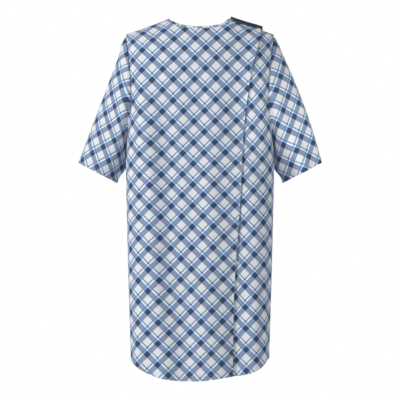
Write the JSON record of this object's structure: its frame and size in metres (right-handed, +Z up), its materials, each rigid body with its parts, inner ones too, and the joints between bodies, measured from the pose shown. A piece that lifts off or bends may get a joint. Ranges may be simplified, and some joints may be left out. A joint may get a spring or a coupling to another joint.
{
  "type": "patient gown",
  "caption": "Flannel patient gown with short sleeves, an overlapping open back that snaps at one shoulder, and a shirt-tail hem.",
  "frame": {"origin": "midway between the two points where the neckline meets the shoulders, where the wearer or a display form carries it", "axes": "+Z up, the wearer faces -Y so the open back faces +Y, +X to the wearer's left"},
  "size_m": [0.7514, 0.257, 1.1279],
  "materials": {
    "flannel": "brushed cotton flannel, plaid on the bias",
    "binding": "folded strip of the same flannel",
    "navy_tape": "woven twill tape",
    "snap_resin": "moulded resin",
    "label": "woven satin, blank"
  },
  "bodies": {
    "garment": {"front_panel": "flannel", "outer_back_side": "flannel", "inner_back_side": "flannel", "neck_binding_front": "binding", "shoulder_tape_stud": "navy_tape", "care_label": "label", "snap_ring_1": "snap_resin", "snap_ring_2": "snap_resin", "snap_ring_3": "snap_resin", "snap_stud_1": "snap_resin", "snap_stud_2": "snap_resin", "snap_stud_3": "snap_resin"},
    "outer_flap": {"outer_back_flap": "flannel", "neck_binding_outer": "binding", "shoulder_tape_socket": "navy_tape", "snap_socket_1": "snap_resin", "snap_socket_2": "snap_resin", "snap_socket_3": "snap_resin", "snap_cap_1": "snap_resin", "snap_cap_2": "snap_resin", "snap_cap_3": "snap_resin"},
    "inner_flap": {"inner_back_flap": "flannel", "neck_binding_inner": "binding"},
    "left_arm": {"left_sleeve": "flannel"},
    "right_arm": {"right_sleeve": "flannel"}
  },
  "joints": [
    {"name": "outer_flap_fold", "type": "hinge", "parent": "garment", "child": "outer_flap", "pos_m": [0.1, 0.1185, -0.5], "axis": [0, 0, -1], "range_deg": [0, 110]},
    {"name": "inner_flap_fold", "type": "hinge", "parent": "garment", "child": "inner_flap", "pos_m": [-0.1, 0.1135, -0.5], "axis": [0, 0, 1], "range_deg": [0, 16.5]},
    {"name": "left_sleeve_swing", "type": "hinge", "parent": "garment", "child": "left_arm", "pos_m": [0.22, 0, -0.212], "axis": [-1, 0, 0], "range_deg": [0, 50]},
    {"name": "right_sleeve_swing", "type": "hinge", "parent": "garment", "child": "right_arm", "pos_m": [-0.22, 0, -0.212], "axis": [-1, 0, 0], "range_deg": [0, 50]}
  ],
  "couplings": [
    {"joint": "inner_flap_fold", "follows": "outer_flap_fold", "ratio": 0.15}
  ]
}
